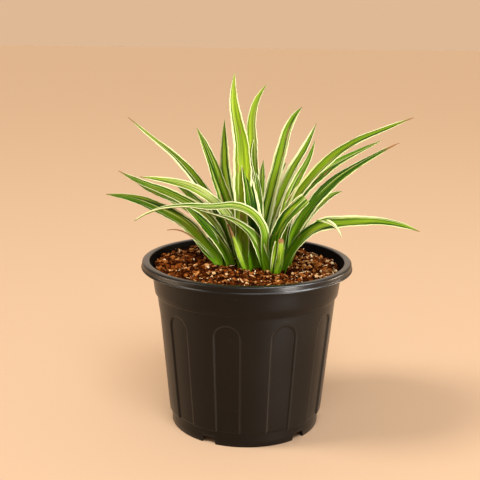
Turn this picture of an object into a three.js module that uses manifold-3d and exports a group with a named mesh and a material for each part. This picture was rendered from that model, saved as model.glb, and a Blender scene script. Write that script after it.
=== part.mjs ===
// Potted spider plant: a clump of five leafy shoots in potting mix, in a round plastic nursery pot.
// Units are millimetres, +Z is up, and the pot's foot stands on z = 0 round the Z axis.
// The photographed front faces -Y, and angles on the pot are counted from there towards +X.

import * as THREE from 'three';
import Module from 'manifold-3d';

const wasm = await Module();
wasm.setup();
const { Manifold, Mesh } = wasm;

// Pot
const RIM_RADIUS = 80;
const RIM_HEIGHT = 128.2;
const LIP_DEPTH = 5.6;
const MOUTH_RADIUS = 73;
const COLLAR_RADIUS_TOP = 72;
const COLLAR_RADIUS_LOW = 69.9;
const COLLAR_HEIGHT = 104;
const BODY_RADIUS_TOP = 68.2;
const BODY_RADIUS_LOW = 59.6;
const FOOT_HEIGHT = 11.2;
const FOOT_RADIUS_TOP = 57.5;
const FOOT_RADIUS_LOW = 57;
const FOOT_WALL = 1.9;
const FLOOR_UNDER = 5.2;
const FLOOR_TOP = 7;
const POT_SEGMENTS = 60;

// Arched flutes pressed into the pot's wall
const FLUTE_COUNT = 10;
const FLUTE_PHASE = -12.2;
const FLUTE_DEPTH = 1.15;
const FLUTE_HALF_WIDTH_TOP = 9.3;
const FLUTE_HALF_WIDTH_LOW = 8.3;
const FLUTE_TOP = 95.4;
const FLUTE_ARCH_SEGMENTS = 10;

// Drainage
const NOTCH_COUNT = 5;
const NOTCH_PHASE = -28;
const NOTCH_WIDTH = 10.5;
const NOTCH_HEIGHT = 4.7;
const DRAIN_RADIUS = 4.5;
const DRAIN_RING_RADIUS = 40;

// Potting mix
const SOIL_LEVEL = 123;
const SOIL_EDGE_LEVEL = 122;
const SOIL_ROUGHNESS = 1.3;
const SOIL_RINGS = 11;
const SOIL_SECTORS = 40;
const CLEARANCE = 0.3;

// Shoots
const CROWN_RADIUS = 7;
const CROWN_BOTTOM = 108;
const CROWN_TOP = 125.4;
const CROWN_SIDES = 16;
const HOLLOW_RADIUS = 12.5;
const HOLLOW_DEPTH = 3.5;
const BLADE_PANEL = 12;
const MOST_PANELS = 11;
const FEWEST_PANELS = 5;
const BLADE_STEPS = 6;
const BLADE_THICKNESS = 0.75;
const BLADE_CHANNEL = 0.2;
const BLADE_SINK = 5;
const WIDTH_PROFILE = [0.8, 0.9, 0.96, 1, 1, 0.98, 0.94, 0.85, 0.71, 0.47, 0.1];
const POINT_NARROWING = 0.5;

// One row per leaf:
// root x, root y, heading, turn towards the tip, leans from the root to the tip in degrees
// from upright, length, width, roll at the root, roll at the tip, share of the blade that is left,
// and how far the outer half narrows to a long point (0 to 1).
const SHOOTS = {
  shoot_left: {
    crown: [-15.5, -2],
    leaves: [
      [-17.5, -6, 149, 0, [48, 48, 73, 83, 92], 126, 10.5, -50, -40, 1, 0.2],
      [-16, -4, 172, 6, [-4, 30, 64, 70, 64], 117, 8, -50, -60, 1, 0.2],
      [-17, 2, 160, 0, [-4, 28, 70, 76, 66], 105, 8, -45, -60, 1, 0.2],
      [-16.5, 4, 150, -14, [2, 39, 64, 76, 75], 88, 5, -40, -50, 1, 0],
      [-11.5, -6, 184, 0, [13, 31, 38, 45, 59], 60, 9.5, -60, -50, 1, 0],
      [-13, 3, 151, 6, [6, 26, 47, 57, 57], 147, 8, -40, -60, 1, 0.8],
      [-19.5, -1, 186, 6, [46, 43, 44, 62, 101], 52, 1.6, -40, -40, 1, 0],
      [-13, 2, 124, 0, [4, 30, 55], 62, 8, -20, -30, 1, 0],
      [-15, 3, 136, 0, [10, 50, 80], 84, 8.5, -25, -35, 1, 0],
      [-14, 1, 166, 0, [12, 40, 66], 66, 8, -45, -45, 1, 0],
      [-17, 3, 112, 0, [14, 52, 94], 92, 8.5, -10, -20, 1, 0],
    ],
  },
  shoot_middle: {
    crown: [2, -10],
    leaves: [
      [-4, -9, 176, 4, [-5, 22, 52, 76, 88], 116, 8, -50, -60, 1, 0.1],
      [-2.4, -6.4, 152, 0, [14, 18, 22, 26, 29], 111, 11, -30, -50, 1, 0.2],
      [-1, -5, 125, 0, [28, 24, 19, 8, -6], 114, 10, -24, -34, 1, 0.2],
      [0, -11, 135, 0, [9, 3, 3, 17, -6], 145, 14.5, -34, -30, 1, 0.4],
      [6, -12.6, 135, 0, [-5, 3, 11, 19, 28], 87, 12, -34, -20, 1, 0.2],
      [-1, -15.5, 190, 0, [21, 20, 19], 38, 6, -40, -30, 1, 0.9],
      [2, -6, 140, 0, [8, 17, 1], 83, 7.5, -20, -20, 1, 0],
    ],
  },
  shoot_front: {
    crown: [21, -18],
    leaves: [
      [16.5, -17.5, 190, 0, [18, -2, 46, 96, 82, 101, 128], 138, 9.5, -66, 16, 1, 0.2],
      [16.5, -18, 188, -4, [25, 19, 48, 77, 71], 77, 9, -95, 25, 1, 0.3],
      [20, -20, -12, 10, [-5, -3, 25, 40, 47], 64, 11, 45, 60, 0.72, 0],
      [26, -17, -28, 0, [15, 42, 78, 88, 105], 124, 11.5, 55, 35, 1, 0.4],
      [22, -24, -30, 0, [10, 8, -5], 27, 6.5, 40, 30, 0.6, 0],
      [17.5, -22, -60, 0, [10, 13, 11], 26, 5, 40, 30, 1, 0],
    ],
  },
  shoot_right: {
    crown: [28, 0],
    leaves: [
      [26, -2, -15, 1, [-5, 18, 42, 62, 70], 161, 9, 50, 60, 1, 0.5],
      [27, 2, 21, -18, [-5, 12, 50, 62, 65], 133, 10.5, 40, 60, 1, 0.8],
      [30, 0, 8, 0, [3, 27, 47, 59, 68], 133, 9.5, 50, 60, 1, 0.9],
      [25, 1, 40, 0, [-5, 5, 28, 39, 19], 102, 7.5, 30, 40, 1, 0.1],
      [26, 3, 62, 0, [10, 25, 45], 72, 7, 20, 30, 1, 0],
      [29, 3, 36, 0, [15, 30, 60], 60, 7, 30, 40, 1, 0],
      [31, 4, 47, 0, [16, 54, 94], 90, 8.5, 20, 30, 1, 0],
    ],
  },
  shoot_back: {
    crown: [8, 15],
    leaves: [
      [4, 18, 30, 0, [5, -1, -5, 0, 43], 138, 10.5, 40, 50, 1, 0.2],
      [6, 18, 170, 0, [-10, -8, 10, 14, -21], 99, 7, -10, 0, 1, 0.7],
      [9, 12, 130, 0, [0, -4, 2, 16, 40], 78, 8.5, 0, 10, 1, 0],
      [10, 13, 51, 10, [-1, 22, 19, 32, 72], 135, 10.5, 15, 30, 1, 0.1],
      [12, 15, 40, 0, [6, 21, 33, 38, 33], 119, 8.5, 25, 35, 1, 0],
      [8, 18, 95, 0, [5, 45, 100], 94, 9, 0, 0, 1, 0],
      [5, 17, 122, 0, [5, 52, 95], 84, 9, -10, -20, 1, 0],
      [11, 17, 70, 0, [5, 40, 85], 100, 9, 10, 20, 1, 0],
      [9, 17, 84, 0, [4, 24, 52], 84, 8, 0, 10, 1, 0],
      [12, 18, 56, 0, [12, 56, 104], 98, 9, 10, 20, 1, 0],
    ],
  },
};

// Looks
const MATERIALS = {
  pot: { color: 0x2f2924, roughness: 0.42, metalness: 0 },
  soil: { color: 0x4b2c1c, roughness: 0.95, metalness: 0 },
  leaf: { color: 0x93a85a, roughness: 0.5, metalness: 0 },
};

const rad = THREE.MathUtils.degToRad;

// Repeatable random numbers from 0 to 1.
function seededRandom(seed) {
  let state = seed;
  return () => {
    state = (state * 16807) % 2147483647;
    return (state - 1) / 2147483646;
  };
}

// Value at share s (0 to 1) of a list of evenly spaced values.
function along(values, s) {
  const place = Math.min(s, 1) * (values.length - 1);
  const index = Math.min(Math.floor(place), values.length - 2);
  return THREE.MathUtils.lerp(values[index], values[index + 1], place - index);
}

// Closed manifold solid from points and triangles; the winding is turned if it faces inwards.
function solidFromTriangles(points, triangles) {
  let volume = 0;
  for (const [a, b, c] of triangles) {
    volume += points[a].dot(new THREE.Vector3().crossVectors(points[b], points[c]));
  }
  const facing = volume > 0 ? triangles : triangles.map(([a, b, c]) => [a, c, b]);
  return new Manifold(new Mesh({
    numProp: 3,
    vertProperties: Float32Array.from(points.flatMap((p) => p.toArray())),
    triVerts: Uint32Array.from(facing.flat()),
  }));
}

// Closed manifold solid from a three.js geometry: equal points are merged, flat slivers dropped.
function solidFromGeometry(geometry) {
  const source = geometry.index ? geometry.toNonIndexed() : geometry;
  const position = source.getAttribute('position');
  const points = [];
  const numbers = new Map();
  const corners = [];
  for (let i = 0; i < position.count; i += 1) {
    const point = new THREE.Vector3().fromBufferAttribute(position, i);
    const key = point.toArray().map((value) => Math.round(value * 1e4)).join();
    if (!numbers.has(key)) {
      numbers.set(key, points.length);
      points.push(point);
    }
    corners.push(numbers.get(key));
  }
  const triangles = [];
  for (let i = 0; i < corners.length; i += 3) {
    const [a, b, c] = corners.slice(i, i + 3);
    if (a !== b && b !== c && c !== a) triangles.push([a, b, c]);
  }
  return solidFromTriangles(points, triangles);
}

// Solid of revolution round Z from a closed profile of [radius, height] pairs.
function turned(profile, segments) {
  const outline = profile.map(([radius, height]) => new THREE.Vector2(radius, height));
  const geometry = new THREE.LatheGeometry(outline, segments);
  geometry.rotateX(Math.PI / 2);
  return solidFromGeometry(geometry);
}

// Moves a solid that was made at the front (-Y) round the pot by an angle in degrees.
function roundPot(solid, angle) {
  return solid.rotate([0, 0, angle]);
}

// Inner wall of the pot, from the floor to the mouth, as [radius, height] pairs.
const INNER_WALL = [
  [54.6, FLOOR_TOP],
  [56.2, FLOOR_TOP + 2.2],
  [BODY_RADIUS_LOW - 2.5, FOOT_HEIGHT + 2],
  [BODY_RADIUS_TOP - 2.5, COLLAR_HEIGHT - 3],
  [COLLAR_RADIUS_LOW - 2, COLLAR_HEIGHT],
  [COLLAR_RADIUS_TOP - 2.1, 118],
  [COLLAR_RADIUS_TOP - 1.5, 120.6],
  [MOUTH_RADIUS - 2.2, 124.4],
  [MOUTH_RADIUS - 0.5, 126.8],
  [MOUTH_RADIUS + 0.5, 127.8],
];

function innerWallRadius(height) {
  for (let i = 1; i < INNER_WALL.length; i += 1) {
    const [r0, z0] = INNER_WALL[i - 1];
    const [r1, z1] = INNER_WALL[i];
    if (height <= z1) return THREE.MathUtils.mapLinear(height, z0, z1, r0, r1);
  }
  return MOUTH_RADIUS;
}

function makePot() {
  const lipBottom = RIM_HEIGHT - LIP_DEPTH;
  const blank = turned([
    [0, FLOOR_UNDER],
    [FOOT_RADIUS_LOW - FOOT_WALL - 0.4, FLOOR_UNDER],
    [FOOT_RADIUS_LOW - FOOT_WALL, 0],
    [FOOT_RADIUS_LOW, 0],
    [FOOT_RADIUS_TOP, FOOT_HEIGHT],
    [BODY_RADIUS_LOW - 0.3, FOOT_HEIGHT + 0.3],
    [BODY_RADIUS_LOW, FOOT_HEIGHT + 1.2],
    [BODY_RADIUS_TOP, COLLAR_HEIGHT - 0.8],
    [COLLAR_RADIUS_LOW, COLLAR_HEIGHT],
    [COLLAR_RADIUS_TOP, 121.4],
    [COLLAR_RADIUS_TOP + 1, 124.4],
    [COLLAR_RADIUS_TOP + 4, 126],
    [RIM_RADIUS - 2.6, 126.2],
    [RIM_RADIUS - 1.7, 125],
    [RIM_RADIUS - 1.7, lipBottom + 0.2],
    [RIM_RADIUS - 0.8, lipBottom],
    [RIM_RADIUS, lipBottom + 0.9],
    [RIM_RADIUS, RIM_HEIGHT - 1.5],
    [RIM_RADIUS - 0.5, RIM_HEIGHT - 0.4],
    [RIM_RADIUS - 1.5, RIM_HEIGHT],
    [MOUTH_RADIUS + 1.5, RIM_HEIGHT],
    ...INNER_WALL.toReversed(),
    [0, FLOOR_TOP],
  ], POT_SEGMENTS);

  const archCentre = FLUTE_TOP - FLUTE_HALF_WIDTH_TOP;
  const outline = new THREE.Shape();
  outline.moveTo(-FLUTE_HALF_WIDTH_LOW, FOOT_HEIGHT + 0.05);
  outline.lineTo(FLUTE_HALF_WIDTH_LOW, FOOT_HEIGHT + 0.05);
  outline.absarc(0, archCentre, FLUTE_HALF_WIDTH_TOP, 0, Math.PI, false);
  outline.closePath();
  const extruded = new THREE.ExtrudeGeometry(outline, {
    depth: RIM_RADIUS,
    bevelEnabled: false,
    curveSegments: FLUTE_ARCH_SEGMENTS,
  });
  extruded.rotateX(Math.PI / 2);
  const fluteBar = solidFromGeometry(extruded);
  const bars = [];
  for (let i = 0; i < FLUTE_COUNT; i += 1) {
    bars.push(roundPot(fluteBar, FLUTE_PHASE + (360 * i) / FLUTE_COUNT));
  }
  const core = turned([
    [0, 0],
    [FOOT_RADIUS_TOP, 0],
    [FOOT_RADIUS_TOP, FOOT_HEIGHT],
    [BODY_RADIUS_LOW - FLUTE_DEPTH, FOOT_HEIGHT + 0.02],
    [BODY_RADIUS_TOP - FLUTE_DEPTH, COLLAR_HEIGHT - 0.8],
    [0, COLLAR_HEIGHT - 0.8],
  ], POT_SEGMENTS);
  const flutes = Manifold.union(bars).subtract(core);

  const drainage = [];
  const notch = Manifold.cube([NOTCH_WIDTH, 12, 2 * NOTCH_HEIGHT], true);
  const drain = Manifold.cylinder(10, DRAIN_RADIUS, DRAIN_RADIUS, 16);
  for (let i = 0; i < NOTCH_COUNT; i += 1) {
    const angle = NOTCH_PHASE + (360 * i) / NOTCH_COUNT;
    drainage.push(roundPot(notch.translate([0, -FOOT_RADIUS_LOW, 0]), angle));
    drainage.push(roundPot(drain.translate([0, -DRAIN_RING_RADIUS, 1]), angle));
  }
  return blank.subtract(flutes).subtract(Manifold.union(drainage));
}

function makeSoil(crowns) {
  const random = seededRandom(4711);
  const points = [];
  const triangles = [];
  const ring = (radius, heightOf) => {
    const first = points.length;
    for (let i = 0; i < SOIL_SECTORS; i += 1) {
      const angle = (2 * Math.PI * i) / SOIL_SECTORS;
      const x = radius * Math.cos(angle);
      points.push(new THREE.Vector3(x, radius * Math.sin(angle), heightOf(x)));
    }
    return first;
  };
  const band = (inner, outer) => {
    for (let i = 0; i < SOIL_SECTORS; i += 1) {
      const next = (i + 1) % SOIL_SECTORS;
      triangles.push([inner + i, outer + i, outer + next]);
      triangles.push([inner + i, outer + next, inner + next]);
    }
  };
  const cap = (first, height, downward) => {
    const centre = points.push(new THREE.Vector3(0, 0, height)) - 1;
    for (let i = 0; i < SOIL_SECTORS; i += 1) {
      const next = (i + 1) % SOIL_SECTORS;
      triangles.push(downward ? [centre, first + next, first + i] : [centre, first + i, first + next]);
    }
  };
  const edgeRadius = innerWallRadius(SOIL_EDGE_LEVEL) - CLEARANCE - 0.3;
  const rings = [];
  for (let i = 1; i < SOIL_RINGS; i += 1) {
    const bump = () => SOIL_LEVEL + SOIL_ROUGHNESS * (2 * random() - 1);
    rings.push(ring((edgeRadius * i) / SOIL_RINGS, (x) => bump() - 0.01 * x));
  }
  rings.push(ring(edgeRadius, () => SOIL_EDGE_LEVEL));
  for (const height of [120.6, 118, COLLAR_HEIGHT, COLLAR_HEIGHT - 3, FOOT_HEIGHT + 2, FLOOR_TOP + 2.2]) {
    rings.push(ring(innerWallRadius(height) - CLEARANCE, () => height));
  }
  rings.push(ring(innerWallRadius(FLOOR_TOP) - CLEARANCE, () => FLOOR_TOP + CLEARANCE));
  cap(rings[0], SOIL_LEVEL, false);
  for (let i = 1; i < rings.length; i += 1) band(rings[i - 1], rings[i]);
  cap(rings[rings.length - 1], FLOOR_TOP + CLEARANCE, true);
  const holeRadius = CROWN_RADIUS + CLEARANCE;
  const hole = turned([
    [0, CROWN_BOTTOM - CLEARANCE],
    [holeRadius, CROWN_BOTTOM - CLEARANCE],
    [holeRadius, SOIL_LEVEL - HOLLOW_DEPTH],
    [HOLLOW_RADIUS, SOIL_LEVEL + SOIL_ROUGHNESS],
    [HOLLOW_RADIUS, SOIL_LEVEL + 10],
    [0, SOIL_LEVEL + 10],
  ], CROWN_SIDES);
  const holes = crowns.map(([x, y]) => hole.translate([x, y, 0]));
  return solidFromTriangles(points, triangles).subtract(Manifold.union(holes));
}

// Point, side direction and upper-face direction of a leaf at each station from root to tip.
function leafStations(leaf, crown) {
  const [x, y, heading, turn, leans, length, width, rollRoot, rollTip, kept, drawn] = leaf;
  const frameAt = (s) => {
    const lean = rad(along(leans, s));
    const direction = rad(heading + turn * s * s);
    const outward = new THREE.Vector3(Math.cos(direction), Math.sin(direction), 0);
    const tangent = outward.clone().multiplyScalar(Math.sin(lean));
    tangent.z = Math.cos(lean);
    const face = outward.clone().multiplyScalar(-Math.cos(lean));
    face.z = Math.sin(lean);
    const side = new THREE.Vector3().crossVectors(tangent, face);
    const roll = rad(THREE.MathUtils.lerp(rollRoot, rollTip, s));
    face.applyAxisAngle(tangent, roll);
    side.applyAxisAngle(tangent, roll);
    return { tangent, face, side };
  };
  const stations = [];
  const root = new THREE.Vector3(x, y, SOIL_LEVEL);
  const sunk = root.clone();
  sunk.x += 0.3 * (crown[0] - x);
  sunk.y += 0.3 * (crown[1] - y);
  sunk.z -= BLADE_SINK;
  const upright = frameAt(0);
  stations.push({ point: sunk, width: width * 0.45, ...upright });
  const point = root.clone();
  const panels = THREE.MathUtils.clamp(Math.round(length / BLADE_PANEL), FEWEST_PANELS, MOST_PANELS);
  for (let i = 0; i <= panels; i += 1) {
    const s = i / panels;
    const narrowing = 1 - POINT_NARROWING * drawn * THREE.MathUtils.smoothstep(s, 0.45, 0.85);
    const across = width * along(WIDTH_PROFILE, s * kept) * narrowing;
    stations.push({ point: point.clone(), width: across, ...frameAt(s) });
    for (let j = 0; j < BLADE_STEPS; j += 1) {
      const between = s + (j + 0.5) / (panels * BLADE_STEPS);
      const step = length / (panels * BLADE_STEPS);
      point.addScaledVector(frameAt(between).tangent, step);
    }
  }
  return stations;
}

// Strap leaf with a channel along its middle: two triangles to a panel, alike on both faces.
function makeLeaf(leaf, crown) {
  const points = [];
  const triangles = [];
  const stations = leafStations(leaf, crown);
  for (const { point, width, side, face } of stations) {
    const place = (across, up) => {
      points.push(point.clone().addScaledVector(side, across).addScaledVector(face, up));
    };
    const dip = BLADE_CHANNEL * width;
    place(-width / 2, 0);
    place(0, -dip);
    place(width / 2, 0);
    place(width / 2, -BLADE_THICKNESS);
    place(0, -dip - BLADE_THICKNESS);
    place(-width / 2, -BLADE_THICKNESS);
  }
  for (let i = 1; i < stations.length; i += 1) {
    const low = 6 * (i - 1);
    const high = 6 * i;
    for (let j = 0; j < 6; j += 1) {
      const k = (j + 1) % 6;
      if (j < 3) {
        triangles.push([low + j, low + k, high + k], [low + j, high + k, high + j]);
      } else {
        triangles.push([low + j, low + k, high + j], [low + k, high + k, high + j]);
      }
    }
  }
  const last = 6 * (stations.length - 1);
  triangles.push([0, 5, 4], [0, 4, 1], [1, 4, 3], [1, 3, 2]);
  triangles.push([last, last + 4, last + 5], [last, last + 1, last + 4]);
  triangles.push([last + 1, last + 3, last + 4], [last + 1, last + 2, last + 3]);
  return solidFromTriangles(points, triangles);
}

function makeShoot({ crown, leaves }) {
  const stem = turned([
    [0, CROWN_BOTTOM],
    [CROWN_RADIUS - 2, CROWN_BOTTOM],
    [CROWN_RADIUS, CROWN_BOTTOM + 3],
    [CROWN_RADIUS, CROWN_TOP - 3.4],
    [CROWN_RADIUS - 2.5, CROWN_TOP - 0.8],
    [0, CROWN_TOP],
  ], CROWN_SIDES).translate([crown[0], crown[1], 0]);
  return Manifold.union([stem, ...leaves.map((leaf) => makeLeaf(leaf, crown))]);
}

function toMesh(solid, name, look) {
  const { vertProperties, triVerts, numProp } = solid.getMesh();
  const geometry = new THREE.BufferGeometry();
  const positions = [];
  for (let i = 0; i < vertProperties.length; i += numProp) {
    positions.push(...vertProperties.slice(i, i + 3));
  }
  geometry.setAttribute('position', new THREE.Float32BufferAttribute(positions, 3));
  geometry.setIndex(Array.from(triVerts));
  geometry.computeVertexNormals();
  const mesh = new THREE.Mesh(geometry, new THREE.MeshStandardMaterial(look));
  mesh.name = name;
  return mesh;
}

const plant = new THREE.Group();
plant.name = 'potted_spider_plant';
plant.add(toMesh(makePot(), 'pot', MATERIALS.pot));
plant.add(toMesh(makeSoil(Object.values(SHOOTS).map(({ crown }) => crown)), 'soil', MATERIALS.soil));
for (const [name, shoot] of Object.entries(SHOOTS)) {
  plant.add(toMesh(makeShoot(shoot), name, MATERIALS.leaf));
}

export default plant;
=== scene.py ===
import math
from collections import namedtuple
from itertools import combinations

import bpy
import numpy as np
from mathutils import Euler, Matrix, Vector


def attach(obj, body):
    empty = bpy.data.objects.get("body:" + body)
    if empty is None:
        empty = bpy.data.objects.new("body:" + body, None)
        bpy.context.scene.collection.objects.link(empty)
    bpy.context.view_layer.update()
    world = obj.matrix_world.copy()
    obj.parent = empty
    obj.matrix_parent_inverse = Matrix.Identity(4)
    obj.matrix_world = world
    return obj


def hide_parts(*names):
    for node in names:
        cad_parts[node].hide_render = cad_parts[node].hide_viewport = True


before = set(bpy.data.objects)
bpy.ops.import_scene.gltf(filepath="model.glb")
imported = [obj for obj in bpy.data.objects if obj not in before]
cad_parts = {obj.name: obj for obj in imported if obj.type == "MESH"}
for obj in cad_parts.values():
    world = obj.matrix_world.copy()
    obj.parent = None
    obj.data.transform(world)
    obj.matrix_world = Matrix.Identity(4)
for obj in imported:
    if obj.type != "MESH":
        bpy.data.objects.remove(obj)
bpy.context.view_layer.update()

MM = 0.001
ROOT = "root"

# Pot, mm
RIM_RADIUS = 80.0
RIM_HEIGHT = 128.2
LIP_DEPTH = 5.6
MOUTH_RADIUS = 73.0
COLLAR_RADIUS_TOP = 72.0
COLLAR_RADIUS_LOW = 69.9
COLLAR_HEIGHT = 104.0
BODY_RADIUS_TOP = 68.2
BODY_RADIUS_LOW = 59.6
FOOT_HEIGHT = 11.2
FOOT_RADIUS_TOP = 57.5
FOOT_RADIUS_LOW = 57.0
FOOT_WALL = 1.9
FLOOR_UNDER = 5.2
FLOOR_TOP = 7.0
FLOOR_RING = 20.0
FLUTE_COUNT = 10
FLUTE_PHASE = -12.2
FLUTE_DEPTH = 1.15
FLUTE_HALF_WIDTH_TOP = 9.3
FLUTE_HALF_WIDTH_LOW = 8.3
FLUTE_TOP = 95.4
FLUTE_EDGE = 2.0
NOTCH_COUNT = 5
NOTCH_PHASE = -28.0
NOTCH_WIDTH = 10.5
NOTCH_HEIGHT = 4.7
NOTCH_LIFT = NOTCH_HEIGHT - 0.1
DRAIN_RADIUS = 4.5
DRAIN_RING_RADIUS = 40.0
DRAIN_SIDES = 48
DRAIN_DEPTH = 6
HALF_WALL = 1.0
# Points belong to the inner wall within these distances of its outline and of the floor, up to
# this far below the rim.
WALL_TOLERANCE, FLOOR_TOLERANCE = 0.05, 0.01
INSIDE_BELOW_RIM = 0.5

# Inner wall as (radius, height), from the floor up
INNER_WALL = [
    (54.6, FLOOR_TOP),
    (55.3, FLOOR_TOP + 0.5),
    (56.2, FLOOR_TOP + 2.2),
    (BODY_RADIUS_LOW - 2.5, FOOT_HEIGHT + 2),
    (BODY_RADIUS_TOP - 2.5, COLLAR_HEIGHT - 3),
    (COLLAR_RADIUS_LOW - 2, COLLAR_HEIGHT),
    (COLLAR_RADIUS_TOP - 2.1, 118.0),
    (COLLAR_RADIUS_TOP - 1.5, 120.6),
    (MOUTH_RADIUS - 1.4, 123.6),
    (MOUTH_RADIUS + 0.3, 126.2),
    (MOUTH_RADIUS + 0.7, 127.3),
    (MOUTH_RADIUS + 0.9, 127.85),
    (MOUTH_RADIUS + 1.3, 128.12),
    (MOUTH_RADIUS + 1.7, RIM_HEIGHT),
]
# Heights of the rows of points on the body, close together at the arches of the flutes
BODY_ROWS = [*np.linspace(18, 78, 9), *np.arange(82.0, 97.0, 0.4), 99.0, 101.0]
# Outside of the lip: offsets from the rim's radius, and from the lip's lower edge for its side or
# from the rim's height for its top
LIP_SIDE = [
    (-1.7, 0.4), (-1.4, 0.08), (-0.9, 0), (-0.3, 0.12), (-0.03, 0.4), (0, 0.6), (-0.02, 0.85),
    (-0.15, 1.1), (-0.4, 1.35), (-0.68, 1.62), (-0.74, 1.75), (-0.74, 1.95),
]
LIP_TOP = [
    (-0.74, -1.35), (-0.75, -1.15), (-0.9, -0.8), (-1.2, -0.45), (-1.6, -0.2), (-2.1, -0.05),
    (-2.5, 0),
]

# Columns of the wall, degrees: places across one edge of a flute or notch, then where the even
# columns on a flute and between two flutes start and stop beside the edges, and their steps
FLUTE_EDGE_COLUMNS = np.arange(-1.1, 1.11, 0.2)
NOTCH_EDGE_COLUMNS = np.array([-0.32, -0.12, 0.12, 0.32])
FLUTE_COLUMNS_FROM, WALL_COLUMNS_FROM, COLUMNS_UP_TO = 1.4, 1.9, 1.3
FLUTE_COLUMN_STEP, WALL_COLUMN_STEP, LEAST_COLUMN_STEP = 0.55, 0.8, 0.07
NOTCH_SOFTNESS = 0.3

# The painted highlight line round each flute lies this far outside its outline, fades over
# this reach, and goes this far above the flute.
HIGHLIGHT_LINE_PLACE = 0.5
HIGHLIGHT_LINE_REACH = 0.7
HIGHLIGHT_LINE_ABOVE = 2.0

# Soil, mm
SOIL_LEVEL = 123.0
BED_LEVEL = SOIL_LEVEL - 0.9
BED_SLOPE = 0.012
SOIL_RADIUS = 69.6
SOIL_BOTTOM = FLOOR_TOP + 0.3
SOIL_SIDE = [
    (SOIL_RADIUS - 0.4, 120.4),
    (69.2, 117.5),
    (67.4, COLLAR_HEIGHT),
    (65.0, 100.0),
    (56.4, FOOT_HEIGHT + 2),
    (55.8, FLOOR_TOP + 2.4),
    (54.2, SOIL_BOTTOM),
]
SOIL_RINGS = 56
SOIL_SECTORS = 200
SOIL_GRAIN = 0.45
SOIL_SEED = 31

# Chunks, crumbs, grit and shreds, with half their length, width and height. The width and height
# of the first three are shares of the length. Lift is the height above the bed, and tint holds
# the two values of a beta draw.
Crumbs = namedtuple("Crumbs", "count length width height shares lift tint")
CRUMB_KINDS = [
    Crumbs(650, (1.9, 3.3), (0.6, 1), (0.45, 0.75), True, (-1.5, 0.9), (2.4, 3.4)),
    Crumbs(2700, (0.8, 1.9), (0.6, 1), (0.5, 0.9), True, (-0.9, 1.6), (1.8, 2.6)),
    Crumbs(2600, (0.35, 0.8), (0.6, 1), (0.5, 0.9), True, (0.0, 2.0), (2.0, 2.0)),
    Crumbs(700, (2.0, 4.2), (0.35, 0.8), (0.25, 0.5), False, (0.4, 1.8), (2.6, 2.0)),
]
CRUMB_SEED = 97
CRUMB_REACH = 0.3
CRUMB_OVERHANG = 0.6
CRUMB_TILT = 0.5
CRUMB_JAG = (0.72, 1.25)
# Within the clearance of a shoot's middle only this share of the crumbs stays.
CROWN_CLEARANCE = 5.0
CROWN_SHARE = 0.25
# Painted shade on low crumbs and on crumbs in hollows: least share of the tint, its rise, and
# the heights between
LIFT_PAINTED_SHADE = (0.42, 0.6, -1.2, 1.6)
HOLLOW_PAINTED_SHADE = (0.5, 0.7, -0.9, 0.5)
# Painted light: the crumbs get paler to the right, by this share per mm. This share of all is
# cream.
RIGHT_SIDE_PAINTED_LIGHT = 0.0033
CREAM_CRUMBS = 0.01
CREAM_TINT = (0.92, 1.0)
# Upper limit of the random angles in radians
FULL_TURN = 6.28

# Leaves, mm
BLADE_STEP = 2.4
FEWEST_STATIONS = 10
STEPS_PER_STATION = 4
BLADE_ACROSS = 12
BLADE_THICKNESS = 0.75
BLADE_EDGE_THICKNESS = 0.4
BLADE_CHANNEL = 0.2
BLADE_BOW = 1.4
BLADE_SINK = 5.0
BLADE_SINK_INWARD = 0.3
BLADE_SINK_WIDTH = 0.45
WIDTH_PROFILE = [0.8, 0.9, 0.96, 1, 1, 0.98, 0.94, 0.85, 0.71, 0.47, 0.04]
POINT_NARROWING = 0.5
NARROWING_PLACE = (0.45, 0.85)
# Waves of a blade: a twist and a flap in shares of its width, and a sway in mm, each with its
# radians per mm. They are in full swing once this number times the share of the length is 1.
BLADE_WAVES = [(0.03, 0.09), (0.025, 0.21), (0.3, 0.11)]
WAVE_GROWTH = 5
# Slow and fast waves of each edge: shares of the half width, and radians per mm
EDGE_WAVES = (0.04, 0.03)
LEFT_EDGE_RATES = (0.31, 0.87)
RIGHT_EDGE_RATES = (0.27, 0.79)
SEED_SPREAD = 50

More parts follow.
